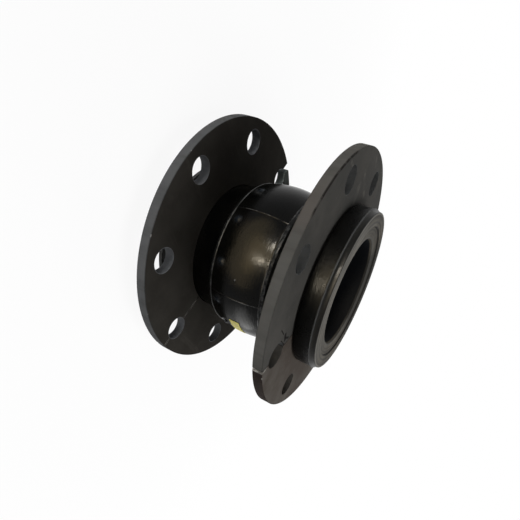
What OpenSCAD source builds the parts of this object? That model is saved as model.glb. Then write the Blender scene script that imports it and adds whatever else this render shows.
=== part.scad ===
// Rubber expansion joint with one wide arch and two floating steel flanges, each split into two halves.
// It stands on its lower end face, with the bore along +Z and the centre of that face at the origin.

/* [Body] */
// Length over the two end faces
body_l = 140; // [100:1:260]
// Bore diameter at the ends
bore_d = 86.5; // [60:0.5:100]
// Diameter of the two end collars
collar_d = 131; // [120:0.5:140]
// Length of a collar, from the end face to the flange
collar_l = 18.5; // [12:0.5:30]
// Diameter of the neck that passes through the flange
neck_d = 108; // [98:0.5:112]
// Largest diameter of the arch
arch_d = 128; // [118:0.5:150]
// Diameter of the arch at its two ring-shaped mould lines
arch_line_d = 122; // [112:0.5:140]
// Distance between the two ring-shaped mould lines of the arch
arch_w = 43.5; // [30:0.5:80]
// Width of the shoulder beside each of those lines, towards the flange
shoulder_w = 1.9; // [0.5:0.1:5]
// How much the shoulder drops, on the radius
shoulder_drop = 0.6; // [0.1:0.1:2]
// Height of the hollow in the arch, as a share of the height outside
hollow_share = 0.9; // [0.2:0.05:1]

/* [Ends and mould lines] */
// Diameter at which the outer ring of each end face steps down to the inner ring
step_d = 108; // [102:0.5:114]
// Height of that step
step_h = 1.3; // [0.3:0.1:2.5]
// How much lower than the outer ring the inner ring is at the bore
dish_h = 1.8; // [0.3:0.1:3]
// Length of the tapered band between the end face and the collar's mould line
band_l = 4.3; // [2:0.1:9]
// How much the band is drawn in at the end face, on the radius
band_taper = 1.1; // [0.2:0.1:3]
// Rounding of the collar's edges
edge_r = 0.8; // [0.4:0.1:3]
// Rounding of the bore's edge
bore_edge_r = 2; // [0.4:0.1:3]
// How far the collar's rim stands off the flange
back_gap = 1.2; // [0.2:0.1:3]
// Width of the ring round the neck where the collar meets the flange
seat_w = 4; // [1:0.5:5]
// Height of the mould lines above the surface
line_h = 0.5; // [0.2:0.1:1.2]
// Width of the mould lines
line_w = 0.9; // [0.4:0.1:2]

/* [Flanges] */
// Flange diameter
flange_d = 210; // [195:1:240]
// Flange thickness
flange_t = 7.5; // [5:0.5:16]
// Clearance between the neck and the flange round it
neck_clearance = 0.5; // [0.2:0.1:2]
// Bolt circle diameter
bolt_circle_d = 175; // [155:1:200]
// Bolt hole diameter
bolt_hole_d = 19; // [12:0.5:23]
// Number of bolt holes
bolt_count = 8; // [4:2:12]
// Gap between the two halves of a flange
split_gap = 0.8; // [0.4:0.1:4]
// Small chamfer round the rim
rim_chamfer = 0.3; // [0.2:0.1:2]
// How far the corner of a half is cut back on the rim, where the split ends
corner_cut = 0.9; // [0.2:0.1:3]
// How far half a of the lower flange is cut back between the bolt hole and the rim
notch_a = 4.3; // [1:0.1:9]
// How far half b of the lower flange is cut back on the rim there
notch_b = 5; // [1:0.1:12]
// How far the upper flange is turned from the lower one
upper_turn = -22.5; // [-90:0.5:90]

/* [Label] */
// Width of the label along the joint
label_w = 9; // [5:0.5:20]
// Length of the label round the arch, in degrees
label_turn = 20; // [6:1:40]
// Where the label starts round the arch
label_at = -6; // [-180:1:180]
// How far the label's lower edge lies below the middle of the arch
label_drop = 5; // [-10:0.5:20]
// Thickness of the label
label_t = 0.3; // [0.1:0.05:0.6]

/* [Hidden] */
$fn = 96;
mid_z = body_l / 2;
bore_r = bore_d / 2;
collar_r = collar_d / 2;
neck_r = neck_d / 2;
flange_bore_d = neck_d + 2 * neck_clearance;
flange_r = flange_d / 2;
bolt_r = bolt_circle_d / 2;
crown_r = arch_d / 2;
line_r = arch_line_d / 2;
shoulder_r = line_r - shoulder_drop;
step_r = step_d / 2;
low_line_z = mid_z - arch_w / 2;
flank_z = collar_l + flange_t + 1;
flank_h = low_line_z - shoulder_w - flank_z;
label_z = mid_z - label_drop;
upper_z = body_l - collar_l - flange_t;
steps = 8;
label_steps = 4;
label_seat = 0.01;

function crown_at(z) = crown_r - (crown_r - line_r) * pow((z - mid_z) / (arch_w / 2), 2);
function flank_at(t) = neck_r + (shoulder_r - neck_r) * pow(t, 1.8);
function inside_at(r) = bore_r + (r - neck_r) * hollow_share;
function flip(points) = [for (i = [len(points) - 1:-1:0]) [points[i][0], body_l - points[i][1]]];

// Outline of the lower half of the outside, from the end face up to the lower ring line
collar_low = [
  [collar_r - band_taper - edge_r, 0],
  [collar_r - band_taper - edge_r * 0.3, edge_r * 0.3],
  [collar_r - band_taper, edge_r],
  [collar_r, band_l - line_w / 2],
  [collar_r + line_h, band_l],
  [collar_r, band_l + line_w / 2],
  [collar_r, collar_l - back_gap - edge_r],
  [collar_r - edge_r * 0.3, collar_l - back_gap - edge_r * 0.3],
  [collar_r - edge_r, collar_l - back_gap],
  [neck_r + seat_w, collar_l],
  [neck_r, collar_l],
];
flank_low = [for (i = [0:steps]) [flank_at(i / steps), flank_z + flank_h * i / steps]];
ridge_low = [
  [line_r, low_line_z],
  [line_r + line_h, low_line_z + line_w * 0.3],
  [crown_at(low_line_z + line_w), low_line_z + line_w],
];
crown_low = [for (i = [1:steps]) let (z = low_line_z + line_w + (arch_w / 2 - line_w) * i / steps) [crown_at(z), z]];
outside_low = concat(collar_low, flank_low, ridge_low, crown_low);

// Outline of the lower half of the inside, from the middle down to the step in the end face
hollow_low = [for (i = [steps:-1:0]) [inside_at(flank_at(i / steps)), flank_z + flank_h * i / steps]];
hollow_mid = [for (i = [steps:-1:0]) let (z = low_line_z + arch_w / 2 * i / steps) [inside_at(crown_at(z)), z]];
inside_low = concat(
  hollow_mid,
  hollow_low,
  [
    [bore_r, dish_h + bore_edge_r],
    [bore_r + bore_edge_r * 0.3, dish_h + bore_edge_r * 0.3],
    [bore_r + bore_edge_r, dish_h],
    [step_r - step_h * 0.4, step_h],
    [step_r, 0],
  ]
);

// Turned body: the two halves of the outline are mirror images
module rubber_body() {
  color([0.09, 0.09, 0.1])
    rotate_extrude()
      polygon(concat(
        outside_low,
        [for (i = [1:len(outside_low) - 1]) flip(outside_low)[i]],
        [for (i = [0:len(inside_low) - 1]) flip(inside_low)[i]],
        [for (i = [1:len(inside_low) - 1]) inside_low[i]]
      ));
}

// Thin sticker that follows the arch
module label() {
  low = [for (i = [0:label_steps]) label_z + label_w * i / label_steps];
  color([0.85, 0.68, 0.08])
    rotate([0, 0, label_at])
      rotate_extrude(angle = label_turn)
        polygon(concat(
          [for (z = low) [crown_at(z) + label_seat, z]],
          [for (i = [label_steps:-1:0]) [crown_at(low[i]) + label_seat + label_t, low[i]]]
        ));
}

// One half of a flange, on the +Y side before it is turned
module flange_half(turn, z, cut_back = 0, notch = 0) {
  edge_y = split_gap / 2;
  color([0.2, 0.2, 0.19])
    translate([0, 0, z])
      rotate([0, 0, turn])
        difference() {
          rotate_extrude()
            polygon([
              [flange_bore_d / 2, 0],
              [flange_r - rim_chamfer, 0],
              [flange_r, rim_chamfer],
              [flange_r, flange_t - rim_chamfer],
              [flange_r - rim_chamfer, flange_t],
              [flange_bore_d / 2, flange_t],
            ]);
          translate([-flange_d, edge_y - 2 * flange_d, -1])
            cube([flange_d * 2, flange_d * 2, flange_t + 2]);
          for (i = [0:bolt_count - 1])
            rotate([0, 0, i * 360 / bolt_count])
              translate([bolt_r, 0, -1])
                cylinder(d = bolt_hole_d, h = flange_t + 2);
          for (side = [-1, 1])
            corner(side, edge_y);
          if (cut_back > 0)
            translate([bolt_r, 0, -1])
              cube([flange_r, cut_back, flange_t + 2]);
          if (notch > 0)
            translate([0, 0, -1])
              linear_extrude(flange_t + 2)
                polygon([[-bolt_r - bolt_hole_d / 2 + 0.5, edge_y], [-flange_r - 1, edge_y], [-flange_r - 1, notch]]);
        }
}

// Bevel on the rim's corner at one end of the split
module corner(side, edge_y) {
  translate([0, 0, -1])
    linear_extrude(flange_t + 2)
      polygon([
        [side * (flange_r - corner_cut), edge_y - 1],
        [side * (flange_r - corner_cut), edge_y],
        [side * (flange_r + 1), edge_y + corner_cut + 1],
        [side * (flange_r + 1), edge_y - 1],
      ]);
}

module lower_flange_half_a() {
  flange_half(180, collar_l, cut_back = notch_a);
}

module lower_flange_half_b() {
  flange_half(0, collar_l, notch = notch_b);
}

module upper_flange_half_a() {
  flange_half(upper_turn + 180, upper_z);
}

module upper_flange_half_b() {
  flange_half(upper_turn, upper_z);
}

rubber_body();
label();
lower_flange_half_a();
lower_flange_half_b();
upper_flange_half_a();
upper_flange_half_b();
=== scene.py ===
import math
import bpy
from mathutils import Matrix, Vector, noise


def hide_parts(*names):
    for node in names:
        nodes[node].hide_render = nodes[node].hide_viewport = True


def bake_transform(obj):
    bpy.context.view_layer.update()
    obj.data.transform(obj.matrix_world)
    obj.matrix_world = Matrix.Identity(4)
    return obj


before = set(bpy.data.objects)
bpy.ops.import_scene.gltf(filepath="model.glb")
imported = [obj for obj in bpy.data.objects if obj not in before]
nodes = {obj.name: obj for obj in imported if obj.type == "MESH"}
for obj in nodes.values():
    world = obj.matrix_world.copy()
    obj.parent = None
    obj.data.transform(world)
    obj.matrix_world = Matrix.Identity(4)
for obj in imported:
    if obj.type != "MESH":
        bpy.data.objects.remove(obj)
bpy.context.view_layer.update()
scene = bpy.context.scene

# Sizes that the CAD model has, in metres and degrees
BODY_L = 0.140
MID = BODY_L / 2
BORE_R = 0.04325
COLLAR_R = 0.0655
COLLAR_L = 0.0185
NECK_R = 0.054
CROWN_R = 0.064
LINE_R = 0.061
LINE_H = 0.0005
ARCH_W = 0.0435
SHOULDER_W = 0.0019
SHOULDER_DROP = 0.0006
FLANK_POWER = 1.8
HOLLOW_SHARE = 0.9
STEP_R = 0.054
STEP_H = 0.0013
DISH_H = 0.0018
BAND_L = 0.0043
BAND_TAPER = 0.0011
EDGE_R = 0.0008
BORE_EDGE_R = 0.002
BACK_GAP = 0.0012
SEAT_W = 0.004
FLANGE_R = 0.105
FLANGE_T = 0.0075
BOLT_R = 0.0875
HOLE_R = 0.0095
HOLE_STEP = 45
UPPER_TURN = -22.5
FACE_R = COLLAR_R - BAND_TAPER
FLANK_Z = COLLAR_L + FLANGE_T + 0.001
LOW_LINE = MID - ARCH_W / 2
FLANK_TOP = LOW_LINE - SHOULDER_W
UPPER_FACE = BODY_L - COLLAR_L - FLANGE_T

# The sticker: its lowest and highest point, where it starts and ends, and how far its two sides stand off
LABEL_HEIGHTS = (0.065, 0.074)
LABEL_TURNS = (math.radians(-6), math.radians(14))
LABEL_LIFTS = (0.00008, 0.00036)

# Row of vent pips on the arch: its height, the first one and the step in degrees, and a pip's size
VENT_Z = 0.0555
VENT_FIRST = -111.0
VENT_STEP = 30.0
VENT_SIZE = (0.0023, 0.0010)
# The single small pip: where it is round the arch and in height, and its size. A size is width and height.
PIP_TURN = math.radians(-42.8)
PIP_Z = 0.0705
PIP_SIZE = (0.0007, 0.0006)
# Radius at which the pips are measured
PIP_ARM = 0.0625
# Mould lines that run along the arch
LINES = [math.radians(-90), math.radians(-28.6)]

# Columns of the rubber's mesh, and the extra ones on each side of a mould line along the arch
AROUND = 360
BESIDE_LINE = (0.0015, 0.0045, 0.0075, 0.011)
CLOSEST_COLUMNS = 0.002

# Where a collar turns into its back, from the end face, and the bore's wall into the end face, as radii
COLLAR_FADE = (COLLAR_L - 0.003, COLLAR_L - 0.001)
BORE_FADE = (BORE_R + 0.0004, BORE_R + 0.0012)
# Side of the end faces with painted shade, opposite the one with painted light, as a direction in plan
SHADED_SIDE = (-0.616, 0.788)

# Strokes of the dark scuff on the upper flange, in plan, with their widths
SCUFFS = [
    ((0.0686, -0.0490), (0.0679, -0.0417), 0.0005),
    ((0.0662, -0.0381), (0.0685, -0.0334), 0.0014),
    ((0.0674, -0.0349), (0.0645, -0.0293), 0.0008),
    ((0.0722, -0.0390), (0.0701, -0.0271), 0.0006),
]
# Strokes of the pale rub marks on the upper flange, in plan, with their widths
RUBS = [
    ((-0.0805, -0.0600), (-0.0812, -0.0515), 0.0010),
    ((-0.0330, -0.0960), (-0.0400, -0.0820), 0.0007),
    ((-0.0487, -0.0608), (-0.0426, -0.0551), 0.0022),
    ((-0.0582, -0.0660), (-0.0601, -0.0400), 0.0012),
]
# Walls of the notch at the open end of the lower flange's split, in plan
NOTCH_WALLS = [
    ((-0.0900, -0.0043), (-0.1050, -0.0043)),
    ((-0.0965, 0.0004), (-0.1060, 0.0050)),
]
# Middle and half width of the stretch of rim that has a dark chipped edge
DARK_EDGE = (math.radians(-97), math.radians(19))

# Colours of the three flange paints: the coat's dark and light clouds, the rim, and the walls of the holes
# Lower flange: coat partly its own browner tone, partly darkened as painted shade between the flanges
LOWER_TONES = {
    "dark": (0.021, 0.0192, 0.0168),
    "light": (0.030, 0.0278, 0.0245),
    "rim": (0.094, 0.096, 0.098),
    "wall": (0.115, 0.119, 0.125),
}
UPPER_TONES = {
    "dark": (0.044, 0.043, 0.040),
    "light": (0.059, 0.0565, 0.052),
    "rim": (0.087, 0.085, 0.079),
    "wall": (0.060, 0.062, 0.062),
}
# Lower half of the upper flange, browner: face partly painted light, rim much darker as painted shade
BROWN_TONES = {
    "dark": (0.048, 0.040, 0.034),
    "light": (0.086, 0.079, 0.070),
    "rim": (0.020, 0.0150, 0.0135),
    "wall": (0.050, 0.047, 0.042),
}
# What a rim's colour is multiplied by where it is stained brown
BROWN_STAIN = (0.95, 0.84, 0.80)
# Colours of the marks on the paint, and of the painted light by the notch
CHIP = (0.24, 0.235, 0.225)
# Painted light by the notch: on the face, on the wall of the hole there and on the notch's walls
NOTCH_FACE_LIGHT = (0.082, 0.092, 0.087)
NOTCH_HOLE_LIGHT = (0.23, 0.255, 0.245)
NOTCH_WALL_LIGHT = ((0.135, 0.152, 0.146), (0.095, 0.107, 0.103))
SCUFF = (0.008, 0.007, 0.007)
RUB = (0.125, 0.118, 0.105)
DARK_CHIPPED = (0.010, 0.009, 0.008)

# Colours of the black rubber. A pair is mixed in clouds.
BLACKS = ((0.0010, 0.0012, 0.0012), (0.0026, 0.0025, 0.0022))
DUST = (0.012, 0.0115, 0.011)
# Painted bluish reflection round the vent pips
VENT_REFLECTION = (0.021, 0.026, 0.032)
PIP_TONE = (0.16, 0.16, 0.16)
# Painted light on the bore's wall, paler and bluer than the black
BORE_PAINTED_LIGHT = (0.0030, 0.0034, 0.0044)
# Pale mould lines, with painted highlight on collar ridges and painted reflection on shoulders
MOULD_LINE_AND_SHEEN = (0.078, 0.080, 0.080)
# Colours of the grey bloom on the end faces, and of the painted light and shade on them
GREYS = ((0.040, 0.0370, 0.0310), (0.078, 0.0695, 0.0555))
GROOVE = (0.022, 0.021, 0.019)
STEP_SHADE = (0.010, 0.0095, 0.009)
# Painted highlight on the lips of the end faces
LIP_HIGHLIGHT = (0.135, 0.132, 0.122)
# Painted shade on one side of the end faces, and painted light on the side opposite it
SHADED_SIDE_TONE = (0.016, 0.0152, 0.0138)
LIT_SIDE_TONE = (0.13, 0.125, 0.112)
# Colours of the sticker
YELLOWS = ((0.54, 0.465, 0.055), (0.62, 0.56, 0.125))

# Specular levels of the materials
PAINT_SPECULAR = 0.006
RUBBER_SPECULAR = 0.055
PAPER_SPECULAR = 0.2


# Node helpers
class Tree:
    # Short calls that add nodes to a tree and link them

    def __init__(self, owner):
        owner.use_nodes = True
        owner.node_tree.nodes.clear()
        self.tree = owner.node_tree

    def add(self, kind, **values):
        node = self.tree.nodes.new(kind)
        for key, value in values.items():
            setattr(node, key, value)
        return node

    def put(self, value, socket):
        # Sets a number or a colour of three numbers on a socket, or links another node's output to it
        if isinstance(value, tuple):
            socket.default_value = value + (1,)
        elif isinstance(value, (int, float)):
            socket.default_value = value
        else:
            self.tree.links.new(value, socket)

    def math(self, operation, a, b=0.0, clamp=False):
        node = self.add("ShaderNodeMath", operation=operation, use_clamp=clamp)
        self.put(a, node.inputs[0])
        self.put(b, node.inputs[1])
        return node.outputs[0]

    def plus(self, a, b, clamp=False):
        return self.math("ADD", a, b, clamp)

    def minus(self, a, b):
        return self.math("SUBTRACT", a, b)

    def times(self, first, *others):
        for other in others:
            first = self.math("MULTIPLY", first, other)
        return first

    def most(self, first, *others):
        for other in others:
            first = self.math("MAXIMUM", first, other)
        return first

    def size(self, value):
        return self.math("ABSOLUTE", value)

    def length(self, a, b):
        return self.math("SQRT", self.plus(self.times(a, a), self.times(b, b)))

    def ramp(self, value, low, high, out_low=0.0, out_high=1.0):
        # Smooth step from out_low at low to out_high at high
        node = self.add("ShaderNodeMapRange", interpolation_type="SMOOTHSTEP")
        for given, socket in zip((value, low, high, out_low, out_high), node.inputs):
            self.put(given, socket)
        return node.outputs[0]

    def fall(self, value, low, high):
        return self.ramp(value, low, high, 1.0, 0.0)

    def near(self, value, centre, inner, outer):
        # 1 where the value is within inner of the centre, and 0 from outer on
        return self.fall(self.size(self.minus(value, centre)), inner, outer)

    def mix(self, factor, a, b):
        node = self.add("ShaderNodeMix", data_type="RGBA")
        self.put(factor, node.inputs[0])
        self.put(a, node.inputs[6])
        self.put(b, node.inputs[7])
        return node.outputs[2]

    def bump(self, height, strength, distance, normal=None):
        node = self.add("ShaderNodeBump")
        self.put(strength, node.inputs["Strength"])
        self.put(distance, node.inputs["Distance"])
        self.put(height, node.inputs["Height"])
        if normal is not None:
            self.put(normal, node.inputs["Normal"])
        return node.outputs[0]

    def seen_white(self):
        # 1 for rays from the camera, through glass and off gloss, and 0 for light that falls on the object
        path = self.add("ShaderNodeLightPath")
        rays = ("Is Camera Ray", "Is Transmission Ray", "Is Glossy Ray")
        return self.most(*[path.outputs[name] for name in rays])

    def end_with(self, factor, first, second, output):
        # Ends the tree with a mix of two shaders
        mixer = self.add("ShaderNodeMixShader")
        self.put(factor, mixer.inputs[0])
        self.put(first.outputs[0], mixer.inputs[1])
        self.put(second.outputs[0], mixer.inputs[2])
        self.put(mixer.outputs[0], self.add(output).inputs[0])


class Surface(Tree):
    # A new material of the object, with one glossy shader

    def __init__(self, name):
        self.material = bpy.data.materials.new(name)
        super().__init__(self.material)
        self.shader = self.add("ShaderNodeBsdfPrincipled")
        self.put(self.shader.outputs[0], self.add("ShaderNodeOutputMaterial").inputs[0])
        self.coords = self.add("ShaderNodeTexCoord").outputs["Object"]

    def locate(self):
        # Keeps the place of the shaded point, and its radius and angle round the bore
        split = self.add("ShaderNodeSeparateXYZ")
        self.put(self.coords, split.inputs[0])
        self.x, self.y, self.z = split.outputs
        self.radius = self.length(self.x, self.y)
        self.angle = self.math("ARCTAN2", self.y, self.x)

    def noise(self, scale, detail, rough, stretch=None, distort=0.0):
        coords = self.coords
        if stretch:
            mapping = self.add("ShaderNodeMapping")
            mapping.inputs["Scale"].default_value = stretch
            self.put(coords, mapping.inputs["Vector"])
            coords = mapping.outputs[0]
        node = self.add("ShaderNodeTexNoise")
        self.put(coords, node.inputs["Vector"])
        self.put(scale, node.inputs["Scale"])
        self.put(detail, node.inputs["Detail"])
        self.put(rough, node.inputs["Roughness"])
        self.put(distort, node.inputs["Distortion"])
        return node.outputs[0]

    def turn_from(self, first, step):
        # Angle from the nearest of the points that repeat round the bore, from first on, step degrees apart
        from_first = self.minus(self.angle, math.radians(first))
        return self.math("PINGPONG", from_first, math.radians(step) / 2)

    def from_hole(self, first):
        # Distance in plan from the middle of the nearest bolt hole
        turn = self.turn_from(first, HOLE_STEP)
        across = self.times(self.radius, self.math("SINE", turn))
        out = self.minus(self.times(self.radius, self.math("COSINE", turn)), BOLT_R)
        return self.length(across, out)

    def from_stroke(self, start, end):
        # Distance in plan from a straight stroke
        run_x, run_y = end[0] - start[0], end[1] - start[1]
        square = run_x ** 2 + run_y ** 2
        x = self.minus(self.x, start[0])
        y = self.minus(self.y, start[1])
        share = self.plus(self.times(x, run_x / square), self.times(y, run_y / square), clamp=True)
        return self.length(self.minus(x, self.times(share, run_x)), self.minus(y, self.times(share, run_y)))

    def finish(self, colour, rough, specular, normal):
        self.put(colour, self.shader.inputs["Base Color"])
        self.put(rough, self.shader.inputs["Roughness"])
        self.put(specular, self.shader.inputs["Specular IOR Level"])
        self.put(normal, self.shader.inputs["Normal"])
        return self.material


def faded(colour, share):
    return tuple(value * share for value in colour)


# Materials of the flanges
class FlangePaint(Surface):
    # Matt dark paint of a flange. Each layer goes over self.tone, the colour so far.

    def __init__(self, name, low_face, first_hole, tones):
        super().__init__(name)
        self.locate()
        self.low_face = low_face
        self.high_face = low_face + FLANGE_T
        self.tones = tones
        self.cloud = self.noise(scale=26.0, detail=5.0, rough=0.55)
        self.fine = self.noise(scale=320.0, detail=3.0, rough=0.6)
        self.streak = self.noise(scale=60.0, detail=4.0, rough=0.6, stretch=(1.0, 1.0, 0.08))
        self.streaked = self.ramp(self.streak, 0.4, 0.7)
        self.on_wall = self.fall(self.from_hole(first_hole), HOLE_R + 0.0001, HOLE_R + 0.0005)

    def lay(self, factor, colour):
        self.tone = self.mix(factor, self.tone, colour)

    def coat(self):
        # Clouds and faint streaks
        self.tone = self.mix(self.ramp(self.cloud, 0.35, 0.68), self.tones["dark"], self.tones["light"])
        self.lay(self.ramp(self.streak, 0.52, 0.75, 0.0, 0.35), faded(self.tones["dark"], 0.75))

    def rim_and_walls(self, warmth):
        # Streaked rim, stained brown in places as far as warmth says, and streaked walls of the holes
        rim, wall = self.tones["rim"], self.tones["wall"]
        stained = tuple(value * share for value, share in zip(rim, BROWN_STAIN))
        stains = self.ramp(self.noise(scale=14.0, detail=3.0, rough=0.5), 0.5, 0.65, 0.0, warmth)
        rim_tone = self.mix(stains, self.mix(self.streaked, rim, faded(rim, 0.72)), stained)
        self.lay(self.ramp(self.radius, FLANGE_R - 0.0005, FLANGE_R - 0.0001), rim_tone)
        self.lay(self.on_wall, self.mix(self.streaked, wall, faded(wall, 0.8)))

    def specks(self):
        self.lay(self.ramp(self.fine, 0.58, 0.8, 0.0, 0.25), faded(self.tones["light"], 1.4))

    def shaded_and_chipped_edges(self):
        # Painted shade as a darker line along the rim's two edges, with pale chips on them
        at_rim = self.ramp(self.radius, FLANGE_R - 0.0009, FLANGE_R - 0.0002)
        at_faces = [self.near(self.z, face, 0.0, 0.0009) for face in (self.low_face, self.high_face)]
        edge = self.times(at_rim, self.most(*at_faces))
        chips = self.ramp(self.noise(scale=190.0, detail=4.0, rough=0.7), 0.61, 0.66)
        # Painted shade: a darker line along the edges
        self.lay(self.times(edge, 0.5), faded(self.tones["dark"], 0.4))
        self.lay(self.times(edge, chips, 0.7), CHIP)

    def bare_split(self, degrees, start, width, grey):
        # Bare edge along one end of the split: its direction, where it starts, its width and its tone
        c, s = math.cos(math.radians(degrees)), math.sin(math.radians(degrees))
        along = self.plus(self.times(self.x, c), self.times(self.y, s))
        away = self.size(self.minus(self.times(self.y, c), self.times(self.x, s)))
        beside = self.times(self.fall(away, width * 0.45, width), self.ramp(along, start, start + 0.004))
        patchy = self.ramp(self.noise(scale=120.0, detail=3.0, rough=0.6), 0.42, 0.56, 0.35, 1.0)
        self.lay(self.times(beside, patchy, 0.8), (grey, grey * 0.96, grey * 0.88))

    def notch_painted_light(self):
        # Painted light on one side of the notch, as far as the wall of the hole there, and on that wall
        side = self.times(self.fall(self.y, 0.012, 0.020), self.ramp(self.y, 0.0002, 0.0008))
        lit_face = self.times(side, self.fall(self.x, -0.0960, -0.0930))
        self.lay(self.times(lit_face, 0.8), NOTCH_FACE_LIGHT)
        near_hole = self.times(side, self.fall(self.x, -0.0800, -0.0780))
        self.lay(self.times(near_hole, self.on_wall), NOTCH_HOLE_LIGHT)
        # Painted light on the notch's walls
        for start, end in NOTCH_WALLS:
            wall = self.fall(self.from_stroke(start, end), 0.0003, 0.0006)
            self.lay(wall, self.mix(self.streaked, *NOTCH_WALL_LIGHT))

    def smears(self):
        smeared = self.noise(scale=38.0, detail=5.0, rough=0.65, stretch=(1.0, 0.35, 1.0), distort=0.8)
        self.lay(self.ramp(smeared, 0.58, 0.72, 0.0, 0.35), faded(self.tones["light"], 1.7))

    def scuffs_and_rubs(self):
        # Dark scuff and pale mottled rub marks on the upper face
        on_top = self.ramp(self.z, self.high_face - 0.0004, self.high_face - 0.0001)
        for start, end, width in SCUFFS:
            away = self.plus(self.from_stroke(start, end), self.times(self.fine, width))
            self.lay(self.times(on_top, self.ramp(away, width, width * 2, 0.85, 0.0)), SCUFF)
        mottled = self.ramp(self.noise(scale=170.0, detail=4.0, rough=0.7), 0.44, 0.62, 0.08, 0.45)
        for start, end, width in RUBS:
            away = self.plus(self.from_stroke(start, end), self.times(self.cloud, width))
            self.lay(self.times(on_top, self.fall(away, width, width * 3), mottled), RUB)

    def dark_edge(self):
        # Dark chipped edge along a stretch of the rim
        middle, half = DARK_EDGE
        beside = self.near(self.radius, FLANGE_R - 0.0006, 0.0004, 0.0011)
        beside = self.times(beside, self.ramp(self.z, self.high_face - 0.0012, self.high_face - 0.0006))
        stretch = self.near(self.angle, middle, half * 0.8, half)
        broken = self.ramp(self.noise(scale=130.0, detail=3.0, rough=0.6), 0.40, 0.54, 0.35, 0.95)
        self.lay(self.times(beside, stretch, broken), DARK_CHIPPED)

    def dry(self):
        rough = self.ramp(self.cloud, 0.3, 0.7, 0.58, 0.72)
        grain = self.bump(self.fine, strength=0.2, distance=0.0004)
        finest = self.noise(scale=900.0, detail=2.0, rough=0.5)
        return self.finish(self.tone, rough, PAINT_SPECULAR, self.bump(finest, 0.15, 0.0002, grain))


def flange_paint(name, low_face, first_hole, tones, warmth=0.0, split=None, notched=False, scuffed=False):
    paint = FlangePaint(name, low_face, first_hole, tones)
    paint.coat()
    paint.rim_and_walls(warmth)
    paint.specks()
    paint.shaded_and_chipped_edges()
    if split:
        paint.bare_split(*split)
    if notched:
        paint.notch_painted_light()
    paint.smears()
    if scuffed:
        paint.scuffs_and_rubs()
        paint.dark_edge()
    return paint.dry()


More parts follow.
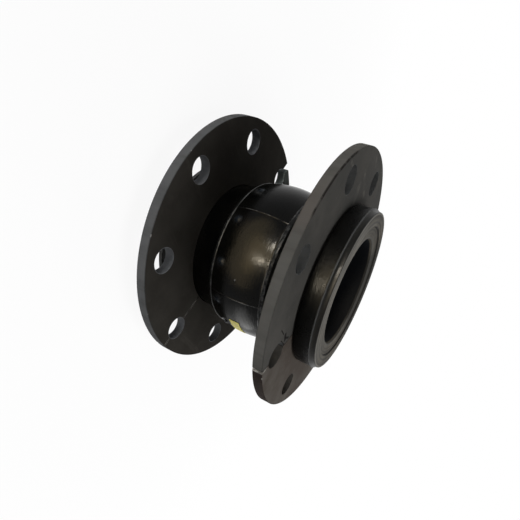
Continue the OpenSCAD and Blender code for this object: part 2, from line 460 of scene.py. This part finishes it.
# Material of the rubber
class RubberSkin(Surface):
    # Glossy moulded rubber: dry grey bloom on the end faces, paler mould lines, painted light and shade

    def __init__(self, name):
        super().__init__(name)
        self.locate()
        self.cloud = self.noise(scale=34.0, detail=4.0, rough=0.55)
        self.fine = self.noise(scale=420.0, detail=4.0, rough=0.6)
        self.patch = self.noise(scale=75.0, detail=4.0, rough=0.65)
        self.from_end = self.math("MINIMUM", self.z, self.minus(BODY_L, self.z))

    def bloom(self):
        # Where the grey bloom lies: on the end faces, and a trace of it on the tapered band
        face = self.fall(self.from_end, DISH_H + 0.0012, DISH_H + 0.0024)
        face = self.times(face, self.fall(self.radius, FACE_R - 0.0006, FACE_R))
        band = self.ramp(self.radius, FACE_R - 0.0006, FACE_R)
        band = self.times(band, self.fall(self.from_end, BAND_L - 0.0009, BAND_L - 0.0004))
        return self.most(face, self.times(band, 0.10))

    def mould_lines_and_sheen(self):
        # Paler lines: ring lines, lines along the arch, and painted light on collar ridges and shoulders
        # Painted highlight along the collar's mould ridge
        ridge_highlight = self.near(self.from_end, BAND_L, 0.0004, 0.0007)
        ridge_highlight = self.times(ridge_highlight, self.ramp(self.radius, COLLAR_R - 0.0001, COLLAR_R + 0.0003))
        ring = self.near(self.from_end, LOW_LINE + 0.0002, 0.0004, 0.0008)
        ring = self.times(ring, self.ramp(self.radius, LINE_R - 0.0001, LINE_R + 0.0003))
        ring = self.times(ring, self.ramp(self.patch, 0.42, 0.6, 0.22, 0.75))
        return self.most(self.times(ridge_highlight, 0.6), ring, self.shoulders(), self.along_lines())

    def shoulders(self):
        # Painted reflection: the upper shoulder is paler than the lower one, and patchy
        both = self.ramp(self.from_end, FLANK_TOP - 0.0001, FLANK_TOP + 0.0002)
        both = self.times(both, self.fall(self.from_end, LOW_LINE - 0.0002, LOW_LINE))
        patchy = self.ramp(self.noise(scale=220.0, detail=3.0, rough=0.6), 0.42, 0.62, 0.12, 0.55)
        upper_sheen = self.times(both, self.ramp(self.z, MID, MID + 0.001), patchy)
        return self.most(self.times(both, 0.08), upper_sheen)

    def along_lines(self):
        # Thin broken lines along the arch
        lines = []
        for line in LINES:
            away = self.times(self.radius, self.size(self.minus(self.angle, line)))
            lines.append(self.fall(away, 0.0001, 0.00033))
        broken = self.ramp(self.patch, 0.46, 0.57, 0.03, 0.75)
        return self.times(self.most(*lines), broken, self.ramp(self.from_end, LOW_LINE, LOW_LINE + 0.0005))

    def black(self):
        # Black with faint dust, a bright small pip, and painted light: round the vent pips and in the bore
        vent_across = self.times(self.radius, self.math("SINE", self.turn_from(VENT_FIRST, VENT_STEP)))
        vent_reflection = self.fall(self.length(vent_across, self.minus(self.z, VENT_Z)), 0.0010, 0.0042)
        pip_across = self.times(self.radius, self.minus(self.angle, PIP_TURN))
        pip = self.fall(self.length(pip_across, self.minus(self.z, PIP_Z)), 0.0005, 0.0011)
        pip = self.times(pip, self.ramp(self.radius, LINE_R, LINE_R + LINE_H))
        pip = self.times(pip, self.ramp(self.fine, 0.4, 0.55))
        tone = self.mix(self.ramp(self.cloud, 0.35, 0.7), *BLACKS)
        tone = self.mix(self.times(self.ramp(self.fine, 0.5, 0.78, 0.0, 0.3), 0.25), tone, DUST)
        # Painted reflection: a paler bluish patch round each vent pip
        tone = self.mix(self.times(vent_reflection, 0.5), tone, VENT_REFLECTION)
        tone = self.mix(pip, tone, PIP_TONE)
        # Painted light: the bore's wall paler and bluer than the black
        return self.mix(self.fall(self.radius, *BORE_FADE), tone, BORE_PAINTED_LIGHT)

    def grey(self):
        # Grey with fine rings and painted light and shade: at the step, on the lips and on two opposite
        # sides
        rings = self.add("ShaderNodeTexNoise", noise_dimensions="1D")
        self.put(self.radius, rings.inputs["W"])
        self.put(480.0, rings.inputs["Scale"])
        tone = self.mix(self.ramp(self.cloud, 0.3, 0.7), *GREYS)
        tone = self.mix(self.ramp(rings.outputs[0], 0.45, 0.58, 0.0, 0.85), tone, GROOVE)
        at_step = self.near(self.radius, STEP_R - 0.0006, 0.0003, 0.0009)
        tone = self.mix(self.times(at_step, 0.85), tone, STEP_SHADE)
        # Painted highlights on the lip round the bore and the lip inside the face's outer edge
        bore_lip = self.near(self.radius, BORE_R + 0.0016, 0.0004, 0.0012)
        rim_lip = self.near(self.radius, FACE_R - 0.0010, 0.0003, 0.0010)
        lip_highlights = self.most(self.times(bore_lip, 0.3), rim_lip)
        tone = self.mix(self.times(lip_highlights, 0.6), tone, LIP_HIGHLIGHT)
        # Painted shade on one side of the end face, and painted light on the other side
        side = self.plus(self.times(self.x, SHADED_SIDE[0]), self.times(self.y, SHADED_SIDE[1]))
        side = self.math("DIVIDE", side, self.radius)
        inside_lip = self.fall(self.radius, FACE_R - 0.0012, FACE_R - 0.0006)
        shaded = self.times(self.ramp(side, 0.55, 0.85), inside_lip, 0.75)
        tone = self.mix(shaded, tone, SHADED_SIDE_TONE)
        lit_side = self.plus(self.times(side, -1.0), self.times(self.cloud, 0.4))
        return self.mix(self.ramp(lit_side, 0.2, 1.1, 0.0, 0.25), tone, LIT_SIDE_TONE)

    def roughness(self, bloom, lines):
        # Rougher under the bloom, on the mould lines, in the bore and on the collars
        rough = self.ramp(self.patch, 0.35, 0.7, 0.17, 0.25)
        rough = self.plus(rough, self.times(self.most(bloom, lines), 0.35))
        in_bore = self.ramp(self.radius, *BORE_FADE, 0.55, 0.0)
        on_collar = self.ramp(self.from_end, *COLLAR_FADE, 0.09, 0.0)
        return self.plus(rough, self.most(in_bore, on_collar))

    def relief(self):
        # Soft dents, fine streaks round the body, and a grain that is stronger on the collars
        dents = self.bump(self.cloud, strength=0.12, distance=0.0012)
        streaks = self.noise(scale=1300.0, detail=2.0, rough=0.5, stretch=(0.14, 0.14, 1.0))
        streaks = self.bump(streaks, 0.5, 0.0002, dents)
        grain = self.times(self.fine, self.ramp(self.from_end, *COLLAR_FADE, 1.0, 0.35))
        return self.bump(grain, 0.3, 0.0003, streaks)


def rubber_skin():
    skin = RubberSkin("rubber_skin")
    bloom = skin.bloom()
    # Paler lines, with painted highlight on collar ridges and painted reflection on shoulders
    lines = skin.mould_lines_and_sheen()
    tone = skin.mix(bloom, skin.black(), skin.grey())
    tone = skin.mix(lines, tone, MOULD_LINE_AND_SHEEN)
    return skin.finish(tone, skin.roughness(bloom, lines), RUBBER_SPECULAR, skin.relief())


def sticker_paper():
    # Plain yellow sticker, a little faded
    paper = Surface("sticker_paper")
    cloud = paper.noise(scale=150.0, detail=4.0, rough=0.6)
    tone = paper.mix(paper.ramp(cloud, 0.35, 0.7), *YELLOWS)
    grain = paper.bump(paper.noise(scale=1100.0, detail=3.0, rough=0.6), strength=0.15, distance=0.0002)
    return paper.finish(tone, paper.ramp(cloud, 0.3, 0.7, 0.42, 0.55), PAPER_SPECULAR, grain)


# Meshes
def mesh_piece(name, verts, faces, mat, sharp):
    mesh = bpy.data.meshes.new(name)
    mesh.from_pydata(verts, [], faces)
    mesh.validate()
    mesh.materials.append(mat)
    obj = bpy.data.objects.new(name, mesh)
    scene.collection.objects.link(obj)
    mesh.shade_smooth()
    mesh.set_sharp_from_angle(angle=math.radians(sharp))
    return obj


def spaced(first, last, steps):
    # Evenly spaced numbers with both ends
    return [first + (last - first) * i / steps for i in range(steps + 1)]


def crown_at(z):
    return CROWN_R - (CROWN_R - LINE_R) * ((z - MID) / (ARCH_W / 2)) ** 2


def flank_at(share):
    return NECK_R + (LINE_R - SHOULDER_DROP - NECK_R) * share ** FLANK_POWER


def inside_at(r):
    return BORE_R + (r - NECK_R) * HOLLOW_SHARE


def rounded(r, z, size, steps=6):
    # Quarter round of an edge, from the side at radius r down to the face at height z
    turns = spaced(0.0, math.pi / 2, steps)
    return [(r - size * (1 - math.cos(a)), z + size * (1 - math.sin(a))) for a in turns]


# Outlines of the rubber's lower half, as radius and height
def end_outline():
    # From the step in the end face over the outer ring and the band to the collar's mould line
    return [
        (STEP_R - 0.0005, STEP_H),
        (STEP_R - 0.0001, 0.0003),
        (STEP_R + 0.0002, 0.0),
        (FACE_R - EDGE_R - 0.002, 0.0),
        *reversed(rounded(FACE_R, 0.0, EDGE_R)),
        (FACE_R + 0.0001, EDGE_R + 0.0008),
        (FACE_R + 0.0003, BAND_L - 0.0014),
        (COLLAR_R - 0.0002, BAND_L - 0.0007),
        (COLLAR_R + 0.0003, BAND_L - 0.0004),
        (COLLAR_R + LINE_H, BAND_L),
        (COLLAR_R + 0.0004, BAND_L + 0.0004),
        (COLLAR_R, BAND_L + 0.0007),
    ]


def collar_outline():
    # Along the collar, round its back edge, and in to the neck
    back = COLLAR_L - BACK_GAP
    return [
        *[(COLLAR_R, z) for z in (0.008, 0.011, 0.014)],
        *[(r, back - z) for r, z in rounded(COLLAR_R, 0.0, EDGE_R)],
        (NECK_R + SEAT_W, COLLAR_L),
        (NECK_R + 0.0006, COLLAR_L),
        (NECK_R + 0.0002, COLLAR_L + 0.0002),
        (NECK_R, COLLAR_L + 0.0007),
        (NECK_R, FLANK_Z - 0.003),
    ]


def flank_outline(steps):
    # From the neck out to the shoulder
    heights = spaced(FLANK_Z, FLANK_TOP, steps)
    return [(flank_at(i / steps), z) for i, z in enumerate(heights)]


def arch_outline():
    # From the shoulder over the ring-shaped mould line to the middle of the arch
    return [
        (LINE_R - 0.0002, LOW_LINE - 0.0009),
        (LINE_R, LOW_LINE - 0.0003),
        (LINE_R + 0.00045, LOW_LINE),
        (LINE_R + LINE_H, LOW_LINE + 0.0003),
        (LINE_R + 0.0003, LOW_LINE + 0.0006),
        *[(crown_at(z), z) for z in spaced(LOW_LINE + 0.0009, MID, 26)],
    ]


def inside_outline():
    # From below the middle of the hollow down the bore, round its edge, and out to the step in the end face
    return [
        *[(inside_at(crown_at(z)), z) for z in spaced(MID, LOW_LINE, 10)[1:]],
        *[(inside_at(r), z) for r, z in reversed(flank_outline(10))],
        (BORE_R, 0.018),
        (BORE_R, 0.009),
        *[(2 * BORE_R - r, z) for r, z in rounded(BORE_R, DISH_H, BORE_EDGE_R)],
        (BORE_R + BORE_EDGE_R + 0.001, DISH_H),
        (STEP_R - 0.0035, STEP_H + 0.0001),
        (STEP_R - 0.0012, STEP_H),
    ]


def mirrored(points):
    # The same points in the upper half, in the opposite order
    return [(r, BODY_L - z) for r, z in reversed(points)]


def columns_round():
    # Angles of the mesh's columns
    even = [2 * math.pi * i / AROUND - math.pi for i in range(AROUND)]
    beside = [line + side * step for line in LINES for side in (-1, 1) for step in BESIDE_LINE]
    turns = sorted({round(turn, 6) for turn in even + beside})
    kept = turns[:1]
    for turn in turns[1:]:
        if turn - kept[-1] > CLOSEST_COLUMNS:
            kept.append(turn)
    return kept


def unevenness(x, y, z):
    # Smooth noise at a point, from about -1 to 1
    return noise.noise(Vector((x, y, z)))


def pip_height(across, up, width, height):
    # Height of a small round pip at a distance from its middle
    away = math.hypot(across, up) / width
    return height * math.exp(-away * away * 2.2) if away < 2.5 else 0.0


def arch_forms(r, z, turn):
    # How far the mould lines, the vent pips and the small pip stand out at a point of the arch
    height = 0.0
    for line in LINES:
        away = math.remainder(turn - line, 2 * math.pi) * r
        line_height = max(0.0, 0.00026 + 0.0003 * unevenness(z * 260, line * 3, 1.7))
        height += line_height * math.exp(-(away / 0.00028) ** 2)
    from_vent = math.remainder(turn - math.radians(VENT_FIRST), math.radians(VENT_STEP))
    from_pip = math.remainder(turn - PIP_TURN, 2 * math.pi)
    height += pip_height(PIP_ARM * from_vent, z - VENT_Z, *VENT_SIZE)
    return height + pip_height(PIP_ARM * from_pip, z - PIP_Z, *PIP_SIZE)


def ring_forms(z, turn):
    # How uneven a ring-shaped mould line is at a point, with a nick here and there
    c, s = math.cos(turn), math.sin(turn)
    nick = 0.0003 if unevenness(c * 31, s * 31, z * 40 + 3) > 0.42 else 0.0
    return 0.00012 * unevenness(c * 9, s * 9, z * 40) - nick


def rubber_mesh():
    low_outside = end_outline() + collar_outline() + flank_outline(20) + arch_outline()
    outside = low_outside + mirrored(low_outside[:-1])
    low_inside = inside_outline()
    outline = outside + mirrored(low_inside) + [(inside_at(CROWN_R), MID)] + low_inside
    turns = columns_round()
    verts = []
    for row, (r, z) in enumerate(outline):
        is_outside = row < len(outside)
        from_end = min(z, BODY_L - z)
        on_arch = is_outside and from_end > LOW_LINE + 0.0006
        on_ring = is_outside and r > LINE_R + 0.0002 and abs(from_end - LOW_LINE) < 0.0006
        uneven = is_outside and r > NECK_R + 0.004
        for turn in turns:
            c, s = math.cos(turn), math.sin(turn)
            moulded = r
            if on_arch:
                moulded += arch_forms(r, z, turn)
            elif on_ring:
                moulded += ring_forms(z, turn)
            if uneven:
                moulded += 0.00012 * unevenness(c * 2.2, s * 2.2, z * 30)
            moulded = min(moulded, COLLAR_R + LINE_H)
            verts.append((moulded * c, moulded * s, z))
    wide = len(turns)
    faces = []
    for row in range(len(outline)):
        here, after = row * wide, (row + 1) % len(outline) * wide
        for k in range(wide):
            beside = (k + 1) % wide
            faces.append((here + k, here + beside, after + beside, after + k))
    return verts, faces


def label_mesh():
    # Thin sheet that follows the arch: its back, its front and its four edges
    rows, columns = 14, 40
    verts = []
    for lift in LABEL_LIFTS:
        for z in spaced(*LABEL_HEIGHTS, rows):
            r = crown_at(z) + lift
            verts += [(r * math.cos(turn), r * math.sin(turn), z) for turn in spaced(*LABEL_TURNS, columns)]
    wide = columns + 1
    front = (rows + 1) * wide
    faces = []
    for row in range(rows):
        for k in range(columns):
            a = row * wide + k
            faces.append((a, a + wide, a + wide + 1, a + 1))
            faces.append((front + a, front + a + 1, front + a + wide + 1, front + a + wide))
    for row in range(rows):
        a, b = row * wide, row * wide + columns
        faces.append((a, front + a, front + a + wide, a + wide))
        faces.append((b, b + wide, front + b + wide, front + b))
    for k in range(columns):
        a, b = k, rows * wide + k
        faces.append((a, a + 1, front + a + 1, front + a))
        faces.append((b, front + b, front + b + 1, b + 1))
    return verts, faces


rubber = mesh_piece("moulded_rubber", *rubber_mesh(), rubber_skin(), sharp=50)
sticker = mesh_piece("yellow_sticker", *label_mesh(), sticker_paper(), sharp=40)

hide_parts("rubber_body")
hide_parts("label")
for piece in (rubber, sticker):
    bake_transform(piece)

# Paints of the flange halves. A split is its direction, where the bare edge starts, its width and its tone.
lower_paint = flange_paint(
    "lower_flange_paint", COLLAR_L, 0, LOWER_TONES,
    split=(0, 0.056, 0.0011, 0.15), notched=True,
)
upper_paint = flange_paint(
    "upper_flange_paint", UPPER_FACE, UPPER_TURN, UPPER_TONES,
    warmth=0.6, scuffed=True,
)
brown_paint = flange_paint(
    "upper_flange_brown_paint", UPPER_FACE, UPPER_TURN, BROWN_TONES,
    split=(UPPER_TURN, 0.098, 0.0024, 0.36),
)
paints = {
    "lower_flange_half_a": lower_paint,
    "lower_flange_half_b": lower_paint,
    "upper_flange_half_a": upper_paint,
    "upper_flange_half_b": brown_paint,
}
for name, paint in paints.items():
    for slot in nodes[name].material_slots:
        slot.material = paint


# Floor and world
def floor_material():
    # White to the camera and in gloss, a little darker round the object, and plain and pale for its light
    mat = bpy.data.materials.new("floor_white")
    t = Tree(mat)
    diffuse = t.add("ShaderNodeBsdfDiffuse")
    t.put((0.8, 0.8, 0.8), diffuse.inputs[0])
    glow = t.add("ShaderNodeEmission")
    t.put((1, 1, 1), glow.inputs[0])
    away = t.add("ShaderNodeVectorMath", operation="LENGTH")
    t.put(t.add("ShaderNodeTexCoord").outputs["Object"], away.inputs[0])
    white = t.ramp(away.outputs["Value"], 0.12, 0.6, 0.92, 1.0)
    t.end_with(t.times(t.seen_white(), white), diffuse, glow, "ShaderNodeOutputMaterial")
    return mat


FLOOR_SIZE = 8.0
FLOOR_GAP = 0.0002
bpy.ops.mesh.primitive_plane_add(size=FLOOR_SIZE, location=(0, 0, -FLOOR_GAP))
floor = bpy.context.object
floor.name = "floor"
floor.data.materials.append(floor_material())

SKY = 0.16


def make_world():
    # White to the camera and in gloss, and a dim even light for the object
    world = bpy.data.worlds.new("studio")
    scene.world = world
    t = Tree(world)
    plain = t.add("ShaderNodeBackground")
    t.put((1, 1, 1), plain.inputs[0])
    t.put(SKY, plain.inputs[1])
    white = t.add("ShaderNodeBackground")
    t.put((1, 1, 1), white.inputs[0])
    t.end_with(t.seen_white(), plain, white, "ShaderNodeOutputWorld")


make_world()

# Lamps: azimuth, elevation, distance, size, power and colour. The soft ones don't show in reflections.
SOFT_LAMPS = {
    "key": (-100, -2, 1.3, 0.7, 16, (1.0, 0.99, 0.98)),
    "end_light": (-20, 72, 1.2, 0.7, 8.5, (0.99, 0.99, 1.0)),
    "side_light": (5, 42, 1.0, 0.6, 1.3, (1.0, 0.97, 0.93)),
    "back_light": (85, 12, 1.3, 0.8, 15, (0.98, 0.99, 1.0)),
}
# Small lamps that only show in reflections
SPARKS = {
    "spark_one": (-59, -6, 0.9, 0.13, 24.0, (1.0, 0.90, 0.72)),
    "spark_two": (-82, 11, 0.9, 0.09, 13.0, (1.0, 0.93, 0.80)),
}
# Glowing cards that only show in reflections: place, the way they face, size, power and colour
CARDS = {
    "warm_card": ((0.20, -0.42, 0.002), (0, 0, 1), 0.68, 5.0, (1.0, 0.79, 0.46)),
    "small_warm_card": ((0.18, -0.36, 0.004), (0, 0, 1), 0.36, 2.0, (1.0, 0.75, 0.38)),
    "far_warm_card": ((0.34, -0.70, 0.002), (0, 0, 1), 0.60, 8.0, (1.0, 0.76, 0.40)),
    "warm_wall_card": ((0.33, -0.85, 0.11), (-0.36, 0.93, 0), 0.50, 6.5, (1.0, 0.80, 0.48)),
    "white_card": ((0.30, 0.18, 0.002), (0, 0, 1), 0.28, 0.75, (1, 1, 0.98)),
}


def disc_light(name, place, facing, size, power, colour):
    data = bpy.data.lights.new(name, "AREA")
    data.shape = "DISK"
    data.size = size
    data.energy = power
    data.color = colour
    light = bpy.data.objects.new(name, data)
    scene.collection.objects.link(light)
    light.location = place
    light.rotation_euler = Vector(facing).to_track_quat("-Z", "Y").to_euler()
    return light


def lamp(name, azimuth, elevation, distance, size, power, colour):
    # A light that shines at the middle of the object
    a, e = math.radians(azimuth), math.radians(elevation)
    middle = Vector((0, 0, MID))
    place = Vector((math.cos(a) * math.cos(e), math.sin(a) * math.cos(e), math.sin(e))) * distance + middle
    return disc_light(name, place, middle - place, size, power, colour)


for name, values in SOFT_LAMPS.items():
    lamp(name, *values).visible_glossy = False
for name, values in SPARKS.items():
    lamp(name, *values).visible_diffuse = False
for name, values in CARDS.items():
    card = disc_light(name, *values)
    card.visible_camera = False
    card.visible_diffuse = False

# Camera, fitted to the photograph: its focal length and shift in the photograph's pixels
PHOTO_SIZE = 520
FOCAL = 377.58
SHIFT = (-13, 58)
SENSOR = 36
CAMERA_PLACE = (0.1413, -0.2657, 0.1932)
CAMERA_RIGHT = (-0.4851, 0.1480, 0.8618)
CAMERA_UP = (-0.8139, -0.4368, -0.3831)


def make_camera():
    data = bpy.data.cameras.new("camera")
    camera = bpy.data.objects.new("camera", data)
    scene.collection.objects.link(camera)
    data.sensor_width = SENSOR
    data.lens = FOCAL / PHOTO_SIZE * SENSOR
    data.shift_x = SHIFT[0] / PHOTO_SIZE
    data.shift_y = SHIFT[1] / PHOTO_SIZE
    data.clip_start = 0.01
    right = Vector(CAMERA_RIGHT)
    back = right.cross(Vector(CAMERA_UP)).normalized()
    up = back.cross(right).normalized()
    turn = Matrix((right, up, back)).transposed().to_4x4()
    camera.matrix_world = Matrix.Translation(CAMERA_PLACE) @ turn
    return camera


scene.camera = make_camera()
scene.view_settings.view_transform = "Standard"

bpy.context.view_layer.update()
